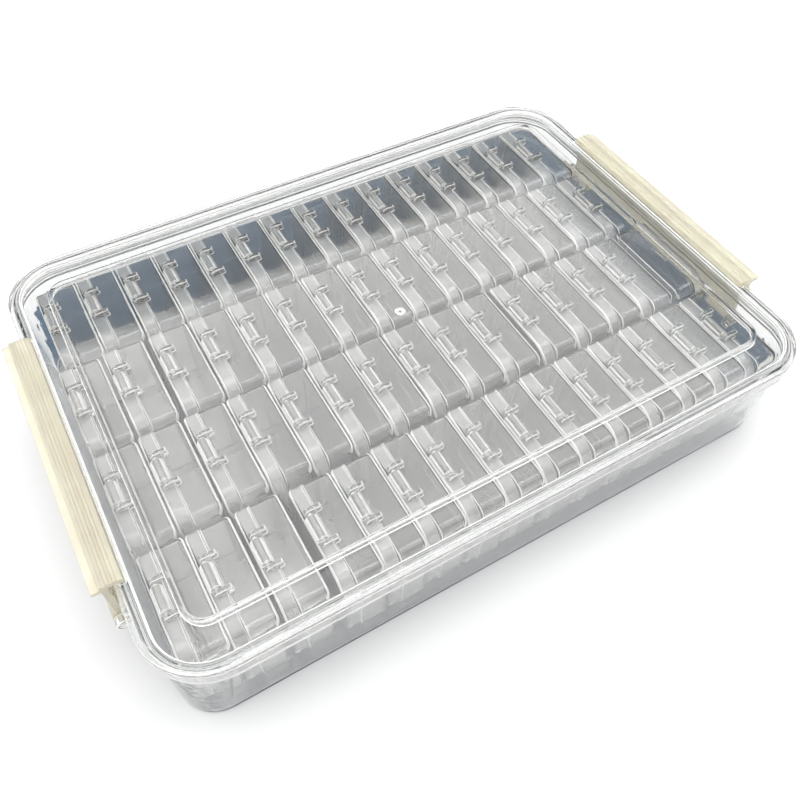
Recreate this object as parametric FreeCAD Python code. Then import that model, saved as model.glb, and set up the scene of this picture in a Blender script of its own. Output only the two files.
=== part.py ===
import FreeCAD, Part
import math
import os

# Clear case with a lift-off lid, two ivory clamp latches and sixty small hinged
# boxes that stand on edge, four to a column and fifteen columns along the case.
# X runs along the case, Y across it with the front at -Y, Z up from the table.
# All sizes are in millimetres.

Vector = FreeCAD.Vector
UP = Vector(0, 0, 1)
ACROSS = Vector(0, 1, 0)
ALONG = Vector(1, 0, 0)
OVERRUN = 1.0

# Case lid, which is as long and wide as the case
lid_length = 266.0
lid_width = 192.0
lid_radius = 23.4
lid_wall = 1.5
rim_top = 48.0
skirt_gap = 0.5
lip_gap = 0.4
lip_wall = 1.3
lip_depth = 1.6
border_drop = 1.4
panel_from_end = 15.0
panel_from_side = 16.0
panel_radius = 8.0
panel_rise = 2.4
rim_round = 0.9
panel_round = 0.7
gate_radius = 1.7
gate_rise = 0.35
gate_dimple_radius = 0.8
groove_width = 2.2
groove_depth = 0.7
groove_from_edge = 2.0

# Case tub, set in from the lid at its top and drafted down to its floor
tub_set_in_ends = 1.7
tub_set_in_sides = 1.8
tub_draft_ends = 1.2
tub_draft_sides = 3.0
tub_bottom_radius = 14.0
tub_corner_fill = 1.6
tub_top_gap = 0.2
tub_wall = 1.6
tub_floor = 1.8
tub_edge_round = 1.6
flange_drop = 5.5
flange_thickness = 1.4
flange_reach = 1.0

# Clamp latches on the two ends
latch_length = 110.0
latch_wall = 2.4
latch_clear = 1.2
hook_clear = 0.35
hook_thickness = 1.9
hook_overlap = 3.7
tip_width = 1.3
tip_drop = 0.4
skirt_reach = 17.0
finger_reach = 3.0
finger_thickness = 1.9
finger_drop = 1.0
ridge_height = 0.4
ridge_width = 1.2
ridge_pitch = 2.3
inner_rib_drop = 7.0
ear_length = 12.5
ear_radius = 3.0
pivot_outboard = 1.4
pivot_drop = 20.6
trunnion_radius = 1.5
trunnion_length = 2.4
pivot_clear = 0.06
lug_thickness = 3.0
lug_gap = 0.5
lug_radius = 2.8

# Small hinged boxes
columns = 15
rows = 4
box_wall = 1.2
column_gap = 0.35
row_gap = 0.4
floor_gap = 0.2
head_gap = 3.8
back_gap = 1.1
front_gap = 0.9
end_gap = 1.55
cover_depth = 5.4
parting_gap = 0.15
tray_step = 0.8
cover_nose_radius = 10.0
tray_nose_radius = 4.5
heel_radius = 1.5
side_round = 2.2
web_thickness = 1.0
hinge_from_heel = 18.5
hinge_from_mouth = 2.75
hinge_radius = 1.3
hinge_clear = 0.1
arm_grip = 1.9
arm_length = 1.8
tongue_length = 9.6
tongue_reach = 1.9
tongue_gap = 1.0
pin_radius = 0.7
pin_clear = 0.05
catch_length = 9.0
catch_thickness = 0.8
catch_reach = 1.2
catch_root = 2.0
catch_clear = 0.3
reversed_box = (columns, rows - 1)

# How far the loose boxes have slid, as shares of the room they have, for each row
# and column: to the side, and towards the front
side_slack = 3.0
front_slack = 3.2
side_shares = (
    (0.38, 0.37, 0.47, 0.47, 0.43, 0.4, 0.37, 0.33, 0.3, 0.27, 0.23, 0.2, 0.17, 0.13, 0.1),
    (-0.6, -0.3, 0.28, 0.43, 0.44, 0.43, 0.45, 0.6, 0.6, 0.65, 0.67, 0.86, 0.97, 0.98, 0.98),
    (-0.62, -0.55, -0.33, -0.28, -0.25, -0.2, -0.18, -0.03, 0.03, 0.05, 0.63, 0.83, 0.93, 0.97, 1.0),
    (-0.3, -0.36, -0.04, 0.95, 0.91, 0.86, 0.82, 0.77, 0.73, 0.68, 0.64, 0.6, 0.55, 0.51, 0.46),
)
front_shares = (
    (0.35, 0.05, 0.0, 0.05, 0.05, 0.0, 0.05, 0.0, 0.08, 0.05, 0.0, 0.05, 0.0, 0.05, 0.34),
    (0.44, 0.1, 0.12, 0.08, 0.08, 0.1, 0.1, 0.06, 0.12, 0.1, 0.05, 0.1, 0.05, 0.1, 0.42),
    (0.44, 0.15, 0.15, 0.1, 0.1, 0.15, 0.12, 0.1, 0.15, 0.12, 0.1, 0.15, 0.1, 0.15, 0.46),
    (0.41, 0.55, 0.57, 0.95, 0.9, 0.6, 0.7, 0.55, 0.6, 0.5, 0.5, 0.55, 0.45, 0.45, 0.46),
)

# Sizes that follow from the sizes above: the tub is set in from the lid and ends
# just under its top, and the boxes share the room inside the case with the slack
# and the gaps around them
tub_top_length = lid_length - 2 * tub_set_in_ends
tub_top_width = lid_width - 2 * tub_set_in_sides
tub_top_radius = lid_radius - tub_set_in_sides
tub_bottom_length = tub_top_length - 2 * tub_draft_ends
tub_bottom_width = tub_top_width - 2 * tub_draft_sides
panel_length = lid_length - 2 * panel_from_end
panel_width = lid_width - 2 * panel_from_side
room_along = tub_bottom_length - 2 * (tub_wall + end_gap + side_slack)
room_across = tub_bottom_width - 2 * tub_wall - back_gap - front_gap - front_slack
box_thickness = (room_along - (columns - 1) * column_gap) / columns
box_length = (room_across - (rows - 1) * row_gap) / rows
tub_height = rim_top - lid_wall - tub_top_gap
flange_low = tub_height - flange_drop - flange_thickness
lid_under = rim_top - border_drop - lid_wall
box_floor = tub_floor + floor_gap
hinge_lift = hinge_radius + hinge_clear
box_height = lid_under - head_gap - hinge_radius - hinge_lift - box_floor
skirt_low = flange_low + flange_thickness + skirt_gap
flange_length = lid_length - 2 * flange_reach
flange_width = lid_width - 2 * flange_reach
pivot_height = rim_top - pivot_drop
latch_inner = lid_length / 2 + latch_clear
latch_outer = latch_inner + latch_wall
pivot_x = latch_inner + pivot_outboard
hinge_x = cover_depth - hinge_from_mouth
hinge_z = box_height + hinge_lift
hinge_y = box_length - hinge_from_heel


def on_xy(height):
    return lambda a, b: Vector(a, b, height)


def on_yz(x):
    return lambda a, b: Vector(x, a, b)


def outline(low, high, radii, point):
    """Closed wire of a rectangle from low to high, corners in turn rounded by radii."""
    corners = ((low[0], low[1], 1, 1), (high[0], low[1], -1, 1),
               (high[0], high[1], -1, -1), (low[0], high[1], 1, -1))
    edges = []
    last = None
    first = None
    for (a, b, step_a, step_b), radius in zip(corners, radii):
        along_a = step_a == step_b
        if along_a:
            start = (a, b + step_b * radius)
            end = (a + step_a * radius, b)
        else:
            start = (a + step_a * radius, b)
            end = (a, b + step_b * radius)
        slope = radius * (1 - math.sqrt(0.5))
        middle = (a + step_a * slope, b + step_b * slope)
        if last is not None:
            edges.append(Part.makeLine(point(*last), point(*start)))
        else:
            first = start
        if radius > 0:
            edges.append(Part.Arc(point(*start), point(*middle), point(*end)).toShape())
        last = end
    edges.append(Part.makeLine(point(*last), point(*first)))
    return Part.Wire(edges)


def round_plate(length, width, radius, low, high):
    """Upright block with rounded corners, centred on the origin."""
    half = (length / 2, width / 2)
    wire = outline((-half[0], -half[1]), half, (radius,) * 4, on_xy(low))
    return Part.Face(wire).extrude(UP * (high - low))


def block(x0, x1, y0, y1, z0, z1):
    return Part.makeBox(x1 - x0, y1 - y0, z1 - z0, Vector(x0, y0, z0))


def rod(radius, length, x, y, z):
    """Round rod along Y, starting at the given point."""
    return Part.makeCylinder(radius, length, Vector(x, y, z), ACROSS)


def level_edges(shape, height):
    """Edges of the shape that lie at one height."""
    found = []
    for edge in shape.Edges:
        box = edge.BoundBox
        if abs(box.ZMin - height) + abs(box.ZMax - height) < 0.01 * tub_wall:
            found.append(edge)
    return found


def tub_loft(inset, fill, low, high):
    """Drafted tub block between two heights, inset from the outer walls.

    Its corners are squarer than the inset makes them by the fill at the top.
    """
    sections = []
    for z in (low, high):
        share = z / tub_height
        length = tub_bottom_length + (tub_top_length - tub_bottom_length) * share - 2 * inset
        width = tub_bottom_width + (tub_top_width - tub_bottom_width) * share - 2 * inset
        top_radius = tub_top_radius - fill
        radius = tub_bottom_radius + (top_radius - tub_bottom_radius) * share - inset
        half = (length / 2, width / 2)
        sections.append(outline((-half[0], -half[1]), half, (radius,) * 4, on_xy(z)))
    return Part.makeLoft(sections, True, True)


def case_tub():
    outer = tub_loft(0.0, 0.0, 0.0, tub_height)
    outer = outer.makeFillet(tub_edge_round, level_edges(outer, 0.0))
    flange_radius = lid_radius - flange_reach
    flange = round_plate(flange_length, flange_width, flange_radius, flange_low,
                         flange_low + flange_thickness)
    tub = outer.fuse(flange)
    lug_x = tub_bottom_length / 2
    lug_start = latch_length / 2 + lug_gap
    for side in (-1, 1):
        for y in (lug_start, -lug_start - lug_thickness):
            eye = rod(lug_radius, lug_thickness, side * pivot_x, y, pivot_height)
            ends = sorted((side * lug_x, side * pivot_x))
            arm = block(ends[0], ends[1], y, y + lug_thickness, pivot_height - lug_radius,
                        pivot_height + lug_radius)
            tub = tub.fuse(eye.fuse(arm))
    tub = tub.cut(tub_loft(tub_wall, tub_corner_fill, tub_floor, tub_height + OVERRUN))
    for side in (-1, 1):
        for y in (lug_start, -lug_start - lug_thickness):
            hole = rod(trunnion_radius + pivot_clear, lug_thickness + 2 * OVERRUN,
                       side * pivot_x, y - OVERRUN, pivot_height)
            tub = tub.cut(hole)
    return tub.removeSplitter()


def case_lid():
    """Lid with an outer skirt, a raised rim, a lip inside the tub and a raised panel."""
    lip_length = tub_top_length - 2 * tub_wall - 2 * lip_gap
    lip_width = tub_top_width - 2 * tub_wall - 2 * lip_gap
    lip_radius = tub_top_radius - tub_corner_fill - tub_wall - lip_gap
    well_radius = lip_radius - lip_wall
    border_top = rim_top - border_drop
    lid = round_plate(lid_length, lid_width, lid_radius, skirt_low, rim_top)
    lid = lid.makeFillet(rim_round, level_edges(lid, rim_top))
    hollow = round_plate(lid_length - 2 * lid_wall, lid_width - 2 * lid_wall, lid_radius - lid_wall,
                         skirt_low - OVERRUN, rim_top - lid_wall)
    lid = lid.cut(hollow)
    lip = round_plate(lip_length, lip_width, lip_radius, lid_under - lip_depth, rim_top - lid_wall)
    lid = lid.fuse(lip)
    well = round_plate(lip_length - 2 * lip_wall, lip_width - 2 * lip_wall, well_radius,
                       border_top, rim_top + OVERRUN)
    under = round_plate(lip_length - 2 * lip_wall, lip_width - 2 * lip_wall, well_radius,
                        lid_under - lip_depth - OVERRUN, lid_under)
    lid = lid.cut(well).cut(under)
    panel_top = border_top + panel_rise
    panel = round_plate(panel_length, panel_width, panel_radius, lid_under, panel_top)
    panel = panel.makeFillet(panel_round, level_edges(panel, panel_top))
    recess = round_plate(panel_length - 2 * lid_wall, panel_width - 2 * lid_wall,
                         panel_radius - lid_wall, lid_under - OVERRUN, panel_top - lid_wall)
    lid = lid.fuse(panel).cut(recess)
    gate = Part.makeCylinder(gate_radius, gate_rise, Vector(0, 0, panel_top))
    dimple = Part.makeCylinder(gate_dimple_radius, gate_rise, Vector(0, 0, panel_top))
    lid = lid.fuse(gate).cut(dimple)
    half = latch_length / 2 + lug_gap
    far = lid_length / 2 - groove_from_edge
    for side in (-1, 1):
        ends = sorted((side * far, side * (far - groove_width)))
        groove = block(ends[0], ends[1], -half, half, rim_top - groove_depth, rim_top + OVERRUN)
        lid = lid.cut(groove)
    return lid.removeSplitter()


def right_latch():
    """Clamp latch of the right end, closed over the lid's rim."""
    half = latch_length / 2
    hook_low = rim_top + hook_clear
    hook_top = hook_low + hook_thickness
    hook_end = lid_length / 2 - hook_overlap
    skirt_bottom = rim_top - skirt_reach
    body = block(latch_inner, latch_outer, -half, half, skirt_bottom, hook_top)
    hook = block(hook_end, latch_inner + OVERRUN, -half, half, hook_low, hook_top)
    tip = block(hook_end, hook_end + tip_width, -half, half, hook_low - hook_clear - tip_drop, hook_top)
    finger_top = hook_top - finger_drop
    finger = block(latch_outer - OVERRUN, latch_outer + finger_reach, -half, half,
                   finger_top - finger_thickness, finger_top)
    latch = body.fuse(hook).fuse(tip).fuse(finger)
    for turn in (1, 2, 3):
        x = hook_end + ridge_pitch * turn - ridge_width / 2
        latch = latch.fuse(block(x, x + ridge_width, -half, half, hook_top - ridge_height,
                                 hook_top + ridge_height))
    rib_z = rim_top - inner_rib_drop
    latch = latch.fuse(block(latch_inner - ridge_height, latch_inner + OVERRUN, -half, half,
                             rib_z, rib_z + ridge_width))
    for y in (-half, half - ear_length):
        ear = rod(ear_radius, ear_length, pivot_x, y, pivot_height)
        neck = block(latch_inner, latch_outer, y, y + ear_length, pivot_height, skirt_bottom + OVERRUN)
        latch = latch.fuse(ear).fuse(neck)
    for y in (-half - trunnion_length, half - OVERRUN):
        latch = latch.fuse(rod(trunnion_radius, trunnion_length + OVERRUN, pivot_x, y, pivot_height))
    return latch.removeSplitter()


def box_prism(front, shrink, nose, side_x, mouth_x, side_radii):
    """Block of a small box, shrunk by a wall, between its closed side and its mouth.

    Seen from the side its front corners take the nose radius and its back ones the
    heel radius. Seen from above only the corners of its closed side are rounded, by
    the side radii of the front and the back.
    """
    heel = heel_radius - shrink
    low = (front + shrink, front + shrink)
    high = (box_length - shrink, box_height - shrink)
    x0 = min(side_x, mouth_x)
    x1 = max(side_x, mouth_x)
    side = outline(low, high, (nose, heel, heel, nose), on_yz(x0))
    body = Part.Face(side).extrude(ALONG * (x1 - x0))
    if side_x < mouth_x:
        radii = (side_radii[0], 0, 0, side_radii[1])
    else:
        radii = (0, side_radii[0], side_radii[1], 0)
    plan = outline((x0, low[0]), (x1, high[0]), radii, on_xy(0.0))
    return body.common(Part.Face(plan).extrude(UP * box_height))


def small_tray():
    """Deep half of a small box: its mouth faces -X, and two arms on its top hold the hinge."""
    mouth = cover_depth + parting_gap
    outer_radii = (side_round, side_round)
    inner_radii = (side_round - box_wall, side_round - box_wall)
    tray = box_prism(tray_step, 0.0, tray_nose_radius, box_thickness, mouth, outer_radii)
    room = box_prism(tray_step, box_wall, tray_nose_radius - box_wall, box_thickness - box_wall,
                     mouth + web_thickness, inner_radii)
    gate = box_prism(tray_step, box_wall, cover_nose_radius - box_wall, mouth + web_thickness,
                     mouth - OVERRUN, (0.0, 0.0))
    tray = tray.cut(room).cut(gate)
    arm_low = hinge_z - hinge_radius
    arm_top = hinge_z + hinge_radius
    reach = tongue_length / 2 + tongue_gap
    for y in (hinge_y - reach - arm_length, hinge_y + reach):
        eye = rod(hinge_radius, arm_length, hinge_x, y, hinge_z)
        arm = block(hinge_x, mouth + arm_grip, y, y + arm_length, arm_low, arm_top)
        foot = block(mouth, mouth + arm_grip, y, y + arm_length, box_height - box_wall, arm_top)
        tray = tray.fuse(eye.fuse(arm).fuse(foot))
        hole = rod(pin_radius + pin_clear, arm_length + 2 * OVERRUN, hinge_x, y - OVERRUN, hinge_z)
        tray = tray.cut(hole)
    return tray.removeSplitter()


def small_cover():
    """Shallow half of a small box, with the hinge tongue, its pin and a snap catch."""
    cover = box_prism(0.0, 0.0, cover_nose_radius, 0.0, cover_depth, (side_round, side_round))
    inner_radii = (side_round - box_wall, side_round - box_wall)
    room = box_prism(0.0, box_wall, cover_nose_radius - box_wall, box_wall, cover_depth + OVERRUN,
                     inner_radii)
    cover = cover.cut(room)
    tongue_start = hinge_y - tongue_length / 2
    tongue_end = tongue_start + tongue_length
    tongue = block(hinge_x - tongue_reach, hinge_x + tongue_reach, tongue_start, tongue_end,
                   box_height - box_wall, hinge_z)
    barrel = rod(hinge_radius, tongue_length, hinge_x, tongue_start, hinge_z)
    pin_length = tongue_length + 2 * (tongue_gap + arm_length)
    pin = rod(pin_radius, pin_length, hinge_x, hinge_y - pin_length / 2, hinge_z)
    catch_low = tray_step + box_wall + catch_clear
    catch_start = hinge_y - catch_length / 2
    catch = block(cover_depth - catch_root, cover_depth + parting_gap + catch_reach, catch_start,
                  catch_start + catch_length, catch_low, catch_low + catch_thickness)
    foot = block(cover_depth - catch_root, cover_depth, catch_start, catch_start + catch_length,
                 box_wall / 2, catch_low + catch_thickness)
    cover = cover.fuse(tongue).fuse(barrel).fuse(pin).fuse(catch).fuse(foot)
    return cover.removeSplitter()


def box_corner(column, row):
    """Left front bottom corner of the small box in a column and row, both from 1."""
    column_pitch = box_thickness + column_gap
    left = (column_gap - columns * column_pitch) / 2
    x = left + (column - 1) * column_pitch + side_slack * side_shares[row - 1][column - 1]
    back = tub_bottom_width / 2 - tub_wall - back_gap
    front = back - row * box_length - (row - 1) * row_gap
    return Vector(x, front - front_slack * front_shares[row - 1][column - 1], box_floor)


def placed(shape, column, row):
    piece = shape.copy()
    if (column, row) == reversed_box:
        middle = Vector(box_thickness / 2, 0, box_height / 2)
        piece.rotate(middle, ACROSS, 180)
        piece.translate(UP * (hinge_lift + hinge_radius - floor_gap / 2))
    piece.translate(box_corner(column, row))
    return piece


def save(name, solids):
    shape = solids[0] if len(solids) == 1 else Part.makeCompound(solids)
    if not shape.isValid() or any(len(s.Solids) != 1 for s in solids):
        raise ValueError("bad solid in " + name)
    shape.exportStep(os.path.join("parts", name + ".step"))
    box = shape.BoundBox
    print("%-22s %2d solids %9.1f mm3  x %7.2f %7.2f  y %7.2f %7.2f  z %6.2f %6.2f" % (
        name, len(shape.Solids), shape.Volume, box.XMin, box.XMax, box.YMin, box.YMax,
        box.ZMin, box.ZMax))


def main():
    os.makedirs("parts", exist_ok=True)
    save("case_tub", [case_tub()])
    save("case_lid", [case_lid()])
    latch = right_latch()
    save("latch_right", [latch])
    other = latch.copy()
    other.rotate(Vector(0, 0, 0), UP, 180)
    save("latch_left", [other])
    tray = small_tray()
    cover = small_cover()
    for column in range(1, columns + 1):
        trays = [placed(tray, column, row) for row in range(1, rows + 1)]
        covers = [placed(cover, column, row) for row in range(1, rows + 1)]
        if column == 1:
            for row in range(1, rows + 1):
                save("tray_01_row_%d" % row, [trays[row - 1]])
                save("cover_01_row_%d" % row, [covers[row - 1]])
        else:
            save("trays_%02d" % column, trays)
            save("covers_%02d" % column, covers)


main()
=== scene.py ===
import math

import bpy
from mathutils import Matrix, Quaternion, Vector
from mathutils.geometry import convex_hull_2d

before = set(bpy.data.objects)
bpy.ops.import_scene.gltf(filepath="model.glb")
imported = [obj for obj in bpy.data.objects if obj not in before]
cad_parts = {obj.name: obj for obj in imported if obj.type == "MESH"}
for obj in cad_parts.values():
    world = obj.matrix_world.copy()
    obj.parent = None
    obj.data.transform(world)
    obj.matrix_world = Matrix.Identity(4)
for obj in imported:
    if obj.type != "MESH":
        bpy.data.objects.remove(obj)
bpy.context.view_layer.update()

# Clear case of sixty small hinged boxes, with two ivory latches, on a pale floor.
# Lengths are in metres unless a name ends in mm. X runs along the case, the front is at -Y.

MM = 0.001

# Camera, found from the case's rim and boxes in the photograph
camera_place = Vector((-107.24, -174.94, 272.83)) * MM
camera_target = Vector((-21.23, -36.69, 48.0)) * MM
camera_roll_degrees = 2.29
camera_lens_mm = 34.56
camera_clip = 10 * MM
sensor_mm = 36.0

# Light around the object: a square soft box overhead with a stronger strip along X, a darker
# gap around it, and a glow from the sides. The edges of the box and the strip are given by how
# far aside they are over how high, those of the glow by height alone on a sphere of radius 1.
light_colour = (1.0, 1.0, 1.0)
box_light = 2.1
box_reach = 0.965
box_blur = 0.03
box_squeeze = 1.04
strip_light = 2.0
strip_reach = 0.2
strip_blur = 0.04
gap_light = 0.4
side_light = 1.5
side_high = 0.37
gap_low = 0.52
least_height = 0.05
clear_bounces = 40
diffuse_bounces = 3

# Stage
floor_radius = 3.0
floor_sides = 96
floor_depth = 1.0 * MM
floor_colour = (0.7, 0.703, 0.707)
mat_top = -0.1 * MM
mat_thickness = 0.7 * MM
foot_reach = Vector((129.6, 90.7)) * MM
boxes_reach = Vector((127.0, 88.0)) * MM
boxes_height = 38.0 * MM
mat_corner = 14.0 * MM
corner_steps = 12
mat_colour = (0.055, 0.098, 0.155)
stage_noise_detail = 4.0
stage_specular = 0.15

# Plastic. Roughness and shade follow a noise field, of which only the middle is used.
plastic_ior = 1.58
case_tint = (0.985, 0.988, 0.985)
box_tint = (0.992, 0.99, 0.978)
# The edge tint is a painted highlight: rounded edges are near-white and nearly opaque in place of
# the bright lines that light makes there
edge_highlight_tint = (0.98, 0.98, 0.965)
ivory_tint = (0.93, 0.87, 0.72)
ivory_clearness = 0.75
cloud_lift = 1.12
bump_strength = 0.12
bump_distance = 0.05 * MM
noise_low = 0.35
noise_high = 0.65

# A wall is upright while its normal's Z is below the first share, and flat above the second
upright_below = 0.3
flat_above = 0.9

# Rounded edges. A small box's closed side is rounded in full, its other edges by a share. One
# box of the last column stands the other way up, so that column's sides count for less.
case_round = 0.3 * MM
box_round = 0.85 * MM
small_share = 0.38
full_weight_from = 0.5
turned_side = 0.3
box_top = 38.7 * MM
edge_segments = 2
edge_slot = 1
sharp_angle = math.radians(35)
weld_distance = 0.002 * MM

# A face lies inside a box when a ray from it, along its normal, meets the box again
ray_start = 0.2 * MM
ray_length = 20 * MM
along_x_from = 0.9
least_share = 0.01


def add_node(tree, kind, **settings):
    node = tree.nodes.new(kind)
    for name, value in settings.items():
        setattr(node, name, value)
    return node


def math_node(tree, operation, first, second=None):
    """Math node whose inputs are numbers or other nodes' outputs."""
    node = add_node(tree, "ShaderNodeMath", operation=operation)
    for socket, value in zip(node.inputs, (first, second)):
        if isinstance(value, (int, float)):
            socket.default_value = value
        elif value is not None:
            tree.links.new(value, socket)
    return node.outputs["Value"]


def remap(tree, value, start, end, low, high, **settings):
    """Goes from low to high while the value goes from start to end."""
    node = add_node(tree, "ShaderNodeMapRange", **settings)
    limits = (("From Min", start), ("From Max", end), ("To Min", low), ("To Max", high))
    for name, number in limits:
        node.inputs[name].default_value = number
    tree.links.new(value, node.inputs["Value"])
    return node.outputs["Result"]


def noise_field(tree, place, scale, detail):
    noise = add_node(tree, "ShaderNodeTexNoise")
    noise.inputs["Scale"].default_value = scale
    noise.inputs["Detail"].default_value = detail
    tree.links.new(place.outputs["Object"], noise.inputs["Vector"])
    return noise.outputs["Fac"]


def spread(tree, field, low, high):
    """Turns the middle of a noise field into values from low to high."""
    return remap(tree, field, noise_low, noise_high, low, high)


def shade_between(tree, field, dark, light):
    """Mixes two colours by a noise field."""
    shade = add_node(tree, "ShaderNodeMix", data_type="RGBA")
    shade.inputs["A"].default_value = (*dark, 1.0)
    shade.inputs["B"].default_value = (*light, 1.0)
    tree.links.new(spread(tree, field, low=0.0, high=1.0), shade.inputs["Factor"])
    return shade.outputs["Result"]


def new_material(name):
    material = bpy.data.materials.new(name)
    material.use_nodes = True
    tree = material.node_tree
    surface = tree.nodes["Principled BSDF"]
    place = add_node(tree, "ShaderNodeTexCoord")
    return material, tree, surface, place


def clear_plastic(name, tint, rough_high, clear_flat, clear_upright):
    """Clear moulded plastic, whose flat and upright walls let through a share of the light each."""
    material, tree, surface, place = new_material(name)
    surface.inputs["Base Color"].default_value = (*tint, 1.0)
    surface.inputs["IOR"].default_value = plastic_ior
    haze = noise_field(tree, place, scale=55.0, detail=3.0)
    tree.links.new(spread(tree, haze, low=0.0, high=rough_high), surface.inputs["Roughness"])
    facing = add_node(tree, "ShaderNodeSeparateXYZ")
    tree.links.new(place.outputs["Normal"], facing.inputs["Vector"])
    flatness = math_node(tree, "ABSOLUTE", facing.outputs["Z"])
    clearness = remap(tree, flatness, upright_below, flat_above, clear_upright, clear_flat)
    tree.links.new(clearness, surface.inputs["Transmission Weight"])
    return material


def edge_highlight_plastic(name, tint, clearness):
    """Moulded edges, made near-white and nearly opaque as a painted highlight for the bright lines
    that light running inside clear plastic makes along them.
    """
    material, tree, surface, place = new_material(name)
    surface.inputs["Base Color"].default_value = (*tint, 1.0)
    surface.inputs["IOR"].default_value = plastic_ior
    surface.inputs["Transmission Weight"].default_value = clearness
    haze = noise_field(tree, place, scale=200.0, detail=2.0)
    tree.links.new(spread(tree, haze, low=0.15, high=0.4), surface.inputs["Roughness"])
    return material


def ivory_plastic(name, tint):
    """Cream plastic, a little see-through, with faint cloudiness and a fine grain."""
    material, tree, surface, place = new_material(name)
    cloud = noise_field(tree, place, scale=90.0, detail=3.0)
    lighter = [min(1.0, part * cloud_lift) for part in tint]
    tree.links.new(shade_between(tree, cloud, tint, lighter), surface.inputs["Base Color"])
    surface.inputs["Transmission Weight"].default_value = ivory_clearness
    surface.inputs["IOR"].default_value = plastic_ior
    grain = noise_field(tree, place, scale=420.0, detail=2.0)
    tree.links.new(spread(tree, grain, low=0.32, high=0.46), surface.inputs["Roughness"])
    bump = add_node(tree, "ShaderNodeBump")
    bump.inputs["Strength"].default_value = bump_strength
    bump.inputs["Distance"].default_value = bump_distance
    tree.links.new(grain, bump.inputs["Height"])
    tree.links.new(bump.outputs["Normal"], surface.inputs["Normal"])
    return material


def stage_paint(name, colour, change, scale, roughness):
    """Paint that is darker and lighter in places, by the given share of its colour."""
    material, tree, surface, place = new_material(name)
    field = noise_field(tree, place, scale, stage_noise_detail)
    darker = [part * (1 - change) for part in colour]
    lighter = [part * (1 + change) for part in colour]
    tree.links.new(shade_between(tree, field, darker, lighter), surface.inputs["Base Color"])
    surface.inputs["Roughness"].default_value = roughness
    surface.inputs["Specular IOR Level"].default_value = stage_specular
    return material


def new_group(name, *numbers):
    """Geometry nodes that take a mesh and the named numbers, and give back a mesh."""
    group = bpy.data.node_groups.new(name, "GeometryNodeTree")
    group.interface.new_socket("Geometry", in_out="INPUT", socket_type="NodeSocketGeometry")
    for number in numbers:
        group.interface.new_socket(number, in_out="INPUT", socket_type="NodeSocketFloat")
    group.interface.new_socket("Geometry", in_out="OUTPUT", socket_type="NodeSocketGeometry")
    return group, add_node(group, "NodeGroupInput"), add_node(group, "NodeGroupOutput")


def smoothing_group():
    """Geometry nodes that shade a mesh smooth but keep its sharp edges."""
    group, entry, leave = new_group("smooth_by_angle")
    faces = add_node(group, "GeometryNodeSetShadeSmooth", domain="FACE")
    faces.inputs["Shade Smooth"].default_value = True
    edges = add_node(group, "GeometryNodeSetShadeSmooth", domain="EDGE")
    edges.inputs["Shade Smooth"].default_value = False
    angle = add_node(group, "GeometryNodeInputMeshEdgeAngle")
    sharp = add_node(group, "FunctionNodeCompare", data_type="FLOAT", operation="GREATER_THAN")
    sharp.inputs["B"].default_value = sharp_angle
    group.links.new(angle.outputs["Unsigned Angle"], sharp.inputs["A"])
    group.links.new(sharp.outputs["Result"], edges.inputs["Selection"])
    group.links.new(entry.outputs["Geometry"], faces.inputs["Geometry"])
    group.links.new(faces.outputs["Geometry"], edges.inputs["Geometry"])
    group.links.new(edges.outputs["Geometry"], leave.inputs["Geometry"])
    return group


def field_on(group, field, domain):
    """Evaluates a field on faces or points, whose mean the edges then take."""
    node = add_node(group, "GeometryNodeFieldOnDomain", data_type="FLOAT", domain=domain)
    group.links.new(field, node.inputs["Value"])
    return node.outputs["Value"]


def weight_group():
    """Geometry nodes that weigh the sharp edges of the small boxes.

    They weigh most round the closed side, which faces along X as Side says, and
    nothing on the step inside the mouth, which faces the same way.
    """
    group, entry, leave = new_group("weigh_edges", "Side")
    normal = add_node(group, "GeometryNodeInputNormal")
    slope = add_node(group, "ShaderNodeSeparateXYZ")
    group.links.new(normal.outputs["Normal"], slope.inputs["Vector"])
    position = add_node(group, "GeometryNodeInputPosition")
    place = add_node(group, "ShaderNodeSeparateXYZ")
    group.links.new(position.outputs["Position"], place.inputs["Vector"])
    turned = math_node(group, "MULTIPLY", slope.outputs["X"], entry.outputs["Side"])
    below = math_node(group, "LESS_THAN", place.outputs["Z"], box_top)
    closed = math_node(group, "MULTIPLY", math_node(group, "MAXIMUM", turned, 0.0), below)
    weight = remap(group, field_on(group, closed, "FACE"), 0.0, full_weight_from, small_share, 1.0)
    start = add_node(group, "ShaderNodeVectorMath", operation="MULTIPLY_ADD")
    start.inputs[1].default_value = (ray_start, ray_start, ray_start)
    group.links.new(normal.outputs["Normal"], start.inputs[0])
    group.links.new(position.outputs["Position"], start.inputs[2])
    ray = add_node(group, "GeometryNodeRaycast")
    ray.inputs["Ray Length"].default_value = ray_length
    group.links.new(entry.outputs["Geometry"], ray.inputs["Target Geometry"])
    group.links.new(start.outputs["Vector"], ray.inputs["Source Position"])
    group.links.new(normal.outputs["Normal"], ray.inputs["Ray Direction"])
    level = math_node(group, "ABSOLUTE", slope.outputs["X"])
    along_x = math_node(group, "GREATER_THAN", level, along_x_from)
    step = field_on(group, math_node(group, "MULTIPLY", along_x, ray.outputs["Is Hit"]), "FACE")
    outside = math_node(group, "LESS_THAN", field_on(group, step, "POINT"), least_share)
    angle = add_node(group, "GeometryNodeInputMeshEdgeAngle")
    sharp = math_node(group, "GREATER_THAN", angle.outputs["Unsigned Angle"], sharp_angle)
    total = math_node(group, "MULTIPLY", weight, math_node(group, "MULTIPLY", sharp, outside))
    store = add_node(group, "GeometryNodeStoreNamedAttribute", data_type="FLOAT", domain="EDGE")
    store.inputs["Name"].default_value = "bevel_weight_edge"
    group.links.new(total, store.inputs["Value"])
    group.links.new(entry.outputs["Geometry"], store.inputs["Geometry"])
    group.links.new(store.outputs["Geometry"], leave.inputs["Geometry"])
    return group


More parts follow.
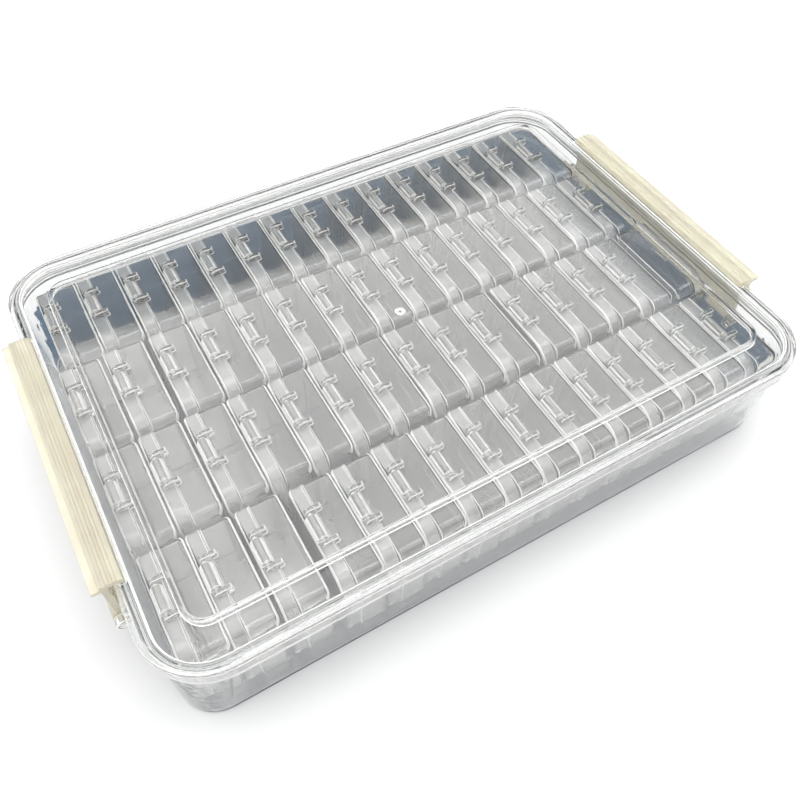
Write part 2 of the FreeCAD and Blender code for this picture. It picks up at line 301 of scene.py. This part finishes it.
def dress(node, material, edges, width, side=0.0):
    """Gives a CAD node its materials, rounded edges and smooth shading.

    A small box's half has its closed side at +X or -X, as side says, and is rounded
    more along it.
    """
    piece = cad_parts[node]
    piece.data.materials.clear()
    piece.data.materials.append(material)
    piece.data.materials.append(edges)
    weld = piece.modifiers.new("weld", "WELD")
    weld.merge_threshold = weld_distance
    if side:
        weigh_edges = piece.modifiers.new("weigh_edges", "NODES")
        weigh_edges.node_group = edge_weights
        socket = edge_weights.interface.items_tree["Side"].identifier
        weigh_edges[socket] = side
    round_edges = piece.modifiers.new("edges", "BEVEL")
    round_edges.width = width
    round_edges.material = edge_slot
    round_edges.segments = edge_segments
    round_edges.limit_method = "WEIGHT" if side else "ANGLE"
    round_edges.angle_limit = sharp_angle
    round_edges.use_clamp_overlap = False
    round_edges.miter_outer = "MITER_ARC"
    smooth = piece.modifiers.new("smooth", "NODES")
    smooth.node_group = smoothing
    weigh = piece.modifiers.new("weigh", "WEIGHTED_NORMAL")
    weigh.keep_sharp = True


def flat_sheet(name, points, top, thickness, material):
    """Level sheet of the stage with the given outline."""
    lower = [(x, y, top - thickness) for x, y in points]
    upper = [(x, y, top) for x, y in points]
    count = len(points)
    sides = [(i, (i + 1) % count, count + (i + 1) % count, count + i) for i in range(count)]
    faces = [tuple(range(count - 1, -1, -1)), tuple(range(count, 2 * count)), *sides]
    mesh = bpy.data.meshes.new(name)
    mesh.from_pydata(lower + upper, [], faces)
    mesh.materials.append(material)
    sheet = bpy.data.objects.new(name, mesh)
    bpy.context.scene.collection.objects.link(sheet)


def circle_outline(radius, count):
    turns = [math.tau * i / count for i in range(count)]
    return [(radius * math.cos(turn), radius * math.sin(turn)) for turn in turns]


def round_outline(reach, radius, steps):
    """Rectangle around the origin with rounded corners, from one half's reach."""
    points = []
    for quarter, (x, y) in enumerate(((1, 1), (-1, 1), (-1, -1), (1, -1))):
        centre_x = x * (reach.x - radius)
        centre_y = y * (reach.y - radius)
        for step in range(steps + 1):
            turn = (quarter + step / steps) * math.pi / 2
            points.append((centre_x + radius * math.cos(turn), centre_y + radius * math.sin(turn)))
    return points


def mat_outline():
    """The case's foot and what the small boxes hide of the floor from the camera."""
    stretch = camera_place.z / (camera_place.z - boxes_height)
    eye = Vector((camera_place.x, camera_place.y))
    boxes = round_outline(boxes_reach, mat_corner, corner_steps)
    points = [eye + (Vector(point) - eye) * stretch for point in boxes]
    points += [Vector(point) for point in round_outline(foot_reach, mat_corner, corner_steps)]
    return [tuple(points[i]) for i in convex_hull_2d(points)]


def studio_sky():
    """Soft box, strip, gap and side glow, the same to every ray."""
    world = bpy.data.worlds.new("studio")
    world.use_nodes = True
    sky = world.node_tree
    for node in list(sky.nodes):
        sky.nodes.remove(node)
    direction = add_node(sky, "ShaderNodeTexCoord")
    parts = add_node(sky, "ShaderNodeSeparateXYZ")
    sky.links.new(direction.outputs["Generated"], parts.inputs["Vector"])
    height = parts.outputs["Z"]
    over = math_node(sky, "MAXIMUM", height, least_height)
    along = math_node(sky, "MULTIPLY", math_node(sky, "ABSOLUTE", parts.outputs["X"]), box_squeeze)
    across = math_node(sky, "ABSOLUTE", parts.outputs["Y"])
    aside = math_node(sky, "DIVIDE", math_node(sky, "MAXIMUM", along, across), over)
    in_box = remap(sky, aside, box_reach - box_blur, box_reach + box_blur, 1.0, 0.0,
                   interpolation_type="SMOOTHSTEP")
    strip = remap(sky, math_node(sky, "DIVIDE", across, over), strip_reach - strip_blur,
                  strip_reach + strip_blur, strip_light, 0.0, interpolation_type="SMOOTHSTEP")
    above = math_node(sky, "ADD", strip, box_light - gap_light)
    glow = remap(sky, height, side_high, gap_low, side_light, gap_light,
                 interpolation_type="SMOOTHSTEP")
    strength = math_node(sky, "ADD", math_node(sky, "MULTIPLY", in_box, above), glow)
    light = add_node(sky, "ShaderNodeBackground")
    light.inputs["Color"].default_value = (*light_colour, 1.0)
    sky.links.new(strength, light.inputs["Strength"])
    out = add_node(sky, "ShaderNodeOutputWorld")
    sky.links.new(light.outputs["Background"], out.inputs["Surface"])
    return world


# Stage: a large pale floor and a slate mat under the case
floor_paint = stage_paint("floor_paint", floor_colour, change=0.01, scale=4.0, roughness=0.8)
mat_paint = stage_paint("mat_paint", mat_colour, change=0.06, scale=60.0, roughness=0.75)
floor_outline = circle_outline(floor_radius, floor_sides)
flat_sheet("floor", floor_outline, mat_top - mat_thickness, floor_depth, floor_paint)
flat_sheet("mat", mat_outline(), mat_top, mat_thickness, mat_paint)

# Materials and rounded edges of the CAD nodes
case_plastic = clear_plastic("case_plastic", case_tint, rough_high=0.02, clear_flat=1.0,
                             clear_upright=1.0)
tray_plastic = clear_plastic("tray_plastic", box_tint, rough_high=0.02, clear_flat=0.985,
                             clear_upright=0.9)
cover_plastic = clear_plastic("cover_plastic", box_tint, rough_high=0.03, clear_flat=0.7,
                              clear_upright=0.85)
# The rounded edges carry painted highlights, near-white and nearly opaque, for the bright lines
# along the edges of clear plastic
case_edge_highlight = edge_highlight_plastic("case_edge_highlight", edge_highlight_tint, clearness=0.1)
box_edge_highlight = edge_highlight_plastic("box_edge_highlight", edge_highlight_tint, clearness=0.05)
ivory = ivory_plastic("latch_ivory", ivory_tint)
smoothing = smoothing_group()
edge_weights = weight_group()
for node in sorted(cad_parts):
    side = turned_side if node.endswith("_15") else 1.0
    if node.startswith("case"):
        dress(node, case_plastic, case_edge_highlight, case_round)
    elif node.startswith("latch"):
        dress(node, ivory, ivory, case_round)
    elif node.startswith("cover"):
        dress(node, cover_plastic, box_edge_highlight, box_round, -side)
    else:
        dress(node, tray_plastic, box_edge_highlight, box_round, side)

# Camera
camera_data = bpy.data.cameras.new("photo_camera")
camera_data.lens = camera_lens_mm
camera_data.sensor_width = sensor_mm
camera_data.sensor_fit = "HORIZONTAL"
camera_data.clip_start = camera_clip
camera = bpy.data.objects.new("photo_camera", camera_data)
bpy.context.scene.collection.objects.link(camera)
aim = (camera_target - camera_place).to_track_quat("-Z", "Y")
roll = Quaternion(Vector((0, 0, 1)), math.radians(camera_roll_degrees))
camera.matrix_world = Matrix.Translation(camera_place) @ (aim @ roll).to_matrix().to_4x4()
bpy.context.scene.camera = camera

# Light, and how often it is followed on through the plastic
scene = bpy.context.scene
scene.world = studio_sky()
scene.view_settings.view_transform = "Standard"
scene.cycles.max_bounces = clear_bounces
scene.cycles.transmission_bounces = clear_bounces
scene.cycles.glossy_bounces = clear_bounces
scene.cycles.diffuse_bounces = diffuse_bounces
